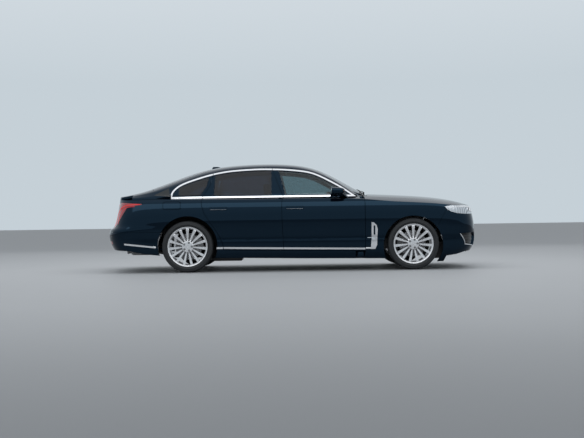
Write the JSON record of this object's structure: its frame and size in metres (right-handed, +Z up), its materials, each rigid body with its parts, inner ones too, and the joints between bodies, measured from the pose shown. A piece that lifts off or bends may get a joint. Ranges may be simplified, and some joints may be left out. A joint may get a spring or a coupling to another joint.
{
  "type": "sedan car",
  "caption": "Long black four-door sedan with fastback roof, bright window arch and side strips, upright-bar grille and multi-spoke alloy wheels.",
  "frame": {"origin": "centre of the bounding box's bottom, on the ground at mid length", "axes": "+X to the nose, +Y to the car's left side, +Z up"},
  "size_m": [5.1239, 2.17, 1.4912],
  "materials": {
    "paint": "gloss",
    "glass": "polished",
    "bright": "polished",
    "alloy": "polished",
    "tyre": "matte",
    "red_lamp": "polished",
    "clear_lamp": "polished",
    "leather": "satin",
    "soft_plastic": "matte",
    "black_plastic": "matte",
    "steel": "satin",
    "cast_metal": "rough",
    "underbody": "satin"
  },
  "bodies": {
    "body": {"body_side_left": "paint", "body_side_right": "paint", "roof_panel": "paint", "cowl_panels": "black_plastic", "fixed_glass": "glass", "front_fenders": "paint", "front_bumper": "paint", "headlamps": "clear_lamp", "grille": "bright", "tail_lamps": "red_lamp", "rear_bumper": "paint", "front_suspension": "steel", "rear_suspension": "steel", "underbody": "underbody", "front_seats": "leather", "rear_seat": "leather", "dashboard": "soft_plastic", "engine_block": "cast_metal", "exhaust": "steel", "fuel_tank": "black_plastic", "bright_trim": "bright"},
    "hood": {"hood": "paint"},
    "trunk_lid": {"trunk_lid": "paint", "lid_lamp": "red_lamp"},
    "fuel_door": {"fuel_door": "paint"},
    "steering_wheel": {"steering_wheel": "leather"},
    "front_door_left": {"front_door_left": "paint", "front_door_glass_left": "glass", "front_door_trim_left": "bright"},
    "rear_door_left": {"rear_door_left": "paint", "rear_door_glass_left": "glass", "rear_door_trim_left": "bright"},
    "front_knuckle_left": {"front_knuckle_left": "cast_metal"},
    "front_wheel_left": {"front_tyre_left": "tyre", "front_rim_left": "alloy"},
    "rear_wheel_left": {"rear_tyre_left": "tyre", "rear_rim_left": "alloy"},
    "front_door_right": {"front_door_right": "paint", "front_door_glass_right": "glass", "front_door_trim_right": "bright"},
    "rear_door_right": {"rear_door_right": "paint", "rear_door_glass_right": "glass", "rear_door_trim_right": "bright"},
    "front_knuckle_right": {"front_knuckle_right": "cast_metal"},
    "front_wheel_right": {"front_tyre_right": "tyre", "front_rim_right": "alloy"},
    "rear_wheel_right": {"rear_tyre_right": "tyre", "rear_rim_right": "alloy"}
  },
  "joints": [
    {"name": "front_door_left_hinge", "type": "hinge", "parent": "body", "child": "front_door_left", "pos_m": [0.92848, 0.914, 0.6], "axis": [0, 0, -1], "range_deg": [0, 68]},
    {"name": "rear_door_left_hinge", "type": "hinge", "parent": "body", "child": "rear_door_left", "pos_m": [-0.17495, 0.914, 0.6], "axis": [0, 0, -1], "range_deg": [0, 70]},
    {"name": "front_door_right_hinge", "type": "hinge", "parent": "body", "child": "front_door_right", "pos_m": [0.92848, -0.914, 0.6], "axis": [0, 0, 1], "range_deg": [0, 68]},
    {"name": "rear_door_right_hinge", "type": "hinge", "parent": "body", "child": "rear_door_right", "pos_m": [-0.17495, -0.914, 0.6], "axis": [0, 0, 1], "range_deg": [0, 70]},
    {"name": "hood_hinge", "type": "hinge", "parent": "body", "child": "hood", "pos_m": [1.025, 0, 1.003], "axis": [0, -1, 0], "range_deg": [0, 50]},
    {"name": "trunk_lid_hinge", "type": "hinge", "parent": "body", "child": "trunk_lid", "pos_m": [-1.83, 0, 1.11], "axis": [0, 1, 0], "range_deg": [0, 60]},
    {"name": "fuel_door_hinge", "type": "hinge", "parent": "body", "child": "fuel_door", "pos_m": [-1.5135, -0.915, 0.9085], "axis": [0, 0.2488, 0.9686], "range_deg": [0, 80]},
    {"name": "steer_left", "type": "hinge", "parent": "body", "child": "front_knuckle_left", "pos_m": [1.6435, 0.728, 0.35], "axis": [0, 0, 1], "range_deg": [-33, 33]},
    {"name": "steer_right", "type": "hinge", "parent": "body", "child": "front_knuckle_right", "pos_m": [1.6435, -0.728, 0.35], "axis": [0, 0, 1], "range_deg": [-33, 33]},
    {"name": "steering_wheel_turn", "type": "hinge", "parent": "body", "child": "steering_wheel", "pos_m": [0.398, 0.372, 0.882], "axis": [-0.9135, 0, 0.4067], "range_deg": [-480, 480]},
    {"name": "front_wheel_left_spin", "type": "hinge", "parent": "front_knuckle_left", "child": "front_wheel_left", "pos_m": [1.6435, 0.813, 0.35], "axis": [0, 1, 0], "continuous": true},
    {"name": "rear_wheel_left_spin", "type": "hinge", "parent": "body", "child": "rear_wheel_left", "pos_m": [-1.4165, 0.813, 0.35], "axis": [0, 1, 0], "continuous": true},
    {"name": "front_wheel_right_spin", "type": "hinge", "parent": "front_knuckle_right", "child": "front_wheel_right", "pos_m": [1.6435, -0.813, 0.35], "axis": [0, 1, 0], "continuous": true},
    {"name": "rear_wheel_right_spin", "type": "hinge", "parent": "body", "child": "rear_wheel_right", "pos_m": [-1.4165, -0.813, 0.35], "axis": [0, 1, 0], "continuous": true}
  ],
  "couplings": [
    {"joint": "steer_right", "follows": "steer_left", "ratio": 1},
    {"joint": "steering_wheel_turn", "follows": "steer_left", "ratio": 14}
  ]
}
